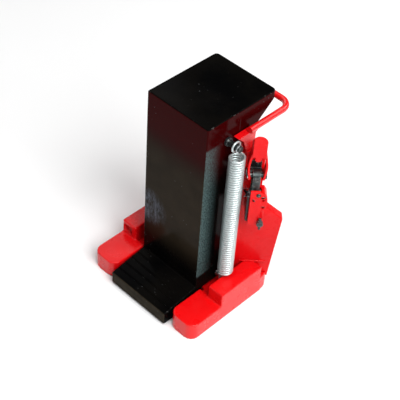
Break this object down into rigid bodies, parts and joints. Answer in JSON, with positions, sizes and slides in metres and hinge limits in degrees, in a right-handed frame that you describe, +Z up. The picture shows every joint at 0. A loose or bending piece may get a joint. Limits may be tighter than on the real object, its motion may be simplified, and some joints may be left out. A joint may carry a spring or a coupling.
{
  "type": "toe jack",
  "caption": "Hydraulic toe jack: black claw column with grooved toe and flat head, red base and frame, lever pump, release valve, two return springs and a carrying bail.",
  "frame": {"origin": "on the ground, on the axis of the ram", "axes": "+Z up along the lift, -Y towards the toe, +X towards the pump"},
  "size_m": [0.2283, 0.2209, 0.331],
  "materials": {
    "red_paint": "gloss enamel over cast and plate steel",
    "black_paint": "gloss enamel, lightly scuffed",
    "zinc_plate": "bright zinc plate",
    "bare_steel": "turned or ground",
    "bronze": "machined",
    "seal_rubber": "moulded"
  },
  "bodies": {
    "root": {"base_casting": "red_paint", "foot_block_right": "red_paint", "foot_block_left": "red_paint", "frame_side_right": "red_paint", "frame_side_left": "red_paint", "back_plate": "red_paint", "wing_plate_right": "red_paint", "wing_plate_left": "red_paint", "oil_tank": "red_paint", "tank_cover": "red_paint", "tank_cover_screws": "zinc_plate", "filler_plug": "zinc_plate", "filler_seal": "bronze", "drain_plug": "zinc_plate", "carry_handle": "red_paint", "cylinder_flange": "bare_steel", "cylinder_tube": "bare_steel", "cylinder_bolts": "bare_steel", "cylinder_oring": "seal_rubber", "gland_nut": "bare_steel", "rod_seal": "seal_rubber", "rod_wiper": "seal_rubber", "wear_strips": "bronze", "spring_anchor_right": "bare_steel", "spring_anchor_left": "bare_steel", "pump_body": "red_paint", "pump_gland": "bare_steel", "plunger_seal": "seal_rubber", "pump_bolts": "zinc_plate", "check_balls": "bare_steel", "check_springs": "zinc_plate", "check_plugs": "bare_steel", "oil_pipe": "bare_steel", "suction_pipe": "bare_steel", "oil_strainer": "bronze", "fulcrum_bracket": "red_paint", "bracket_screws": "zinc_plate", "fulcrum_pin": "bare_steel", "fulcrum_clips": "zinc_plate", "return_spring_right": "zinc_plate", "return_spring_left": "zinc_plate"},
    "claw": {"claw_column": "black_paint", "toe_plate": "black_paint", "head_block": "black_paint", "ram": "bare_steel", "piston": "bare_steel", "piston_seal": "seal_rubber", "ram_collar": "bare_steel", "ram_grub_screw": "bare_steel", "spring_stud_right": "black_paint", "spring_stud_left": "black_paint", "stud_clips": "zinc_plate"},
    "lever": {"pump_lever": "red_paint", "plunger_pin": "black_paint", "plunger_pin_clip": "zinc_plate"},
    "plunger": {"plunger": "bare_steel"},
    "release": {"release_screw": "zinc_plate", "release_bar": "zinc_plate"}
  },
  "joints": [
    {"name": "claw_lift", "type": "slide", "parent": "root", "child": "claw", "axis": [0, 0, 1], "range_m": [0, 0.14], "stiffness_N_per_m": 3500, "springref_m": -0.03, "deforming": ["return_spring_right", "return_spring_left"]},
    {"name": "pump_swing", "type": "hinge", "parent": "root", "child": "lever", "pos_m": [0.08215, 0.02276, 0.235], "axis": [0.7071, 0.7071, 0], "range_deg": [0, 60]},
    {"name": "plunger_stroke", "type": "slide", "parent": "root", "child": "plunger", "axis": [0, 0, 1], "range_m": [-0.0161, 0]},
    {"name": "release_turn", "type": "hinge", "parent": "root", "child": "release", "pos_m": [0.10892, 0.01084, 0.168], "axis": [0.7071, -0.7071, 0], "range_deg": [0, 270]}
  ],
  "couplings": [
    {"joint": "plunger_stroke", "follows": "pump_swing", "m_per_rad": -0.015279}
  ]
}
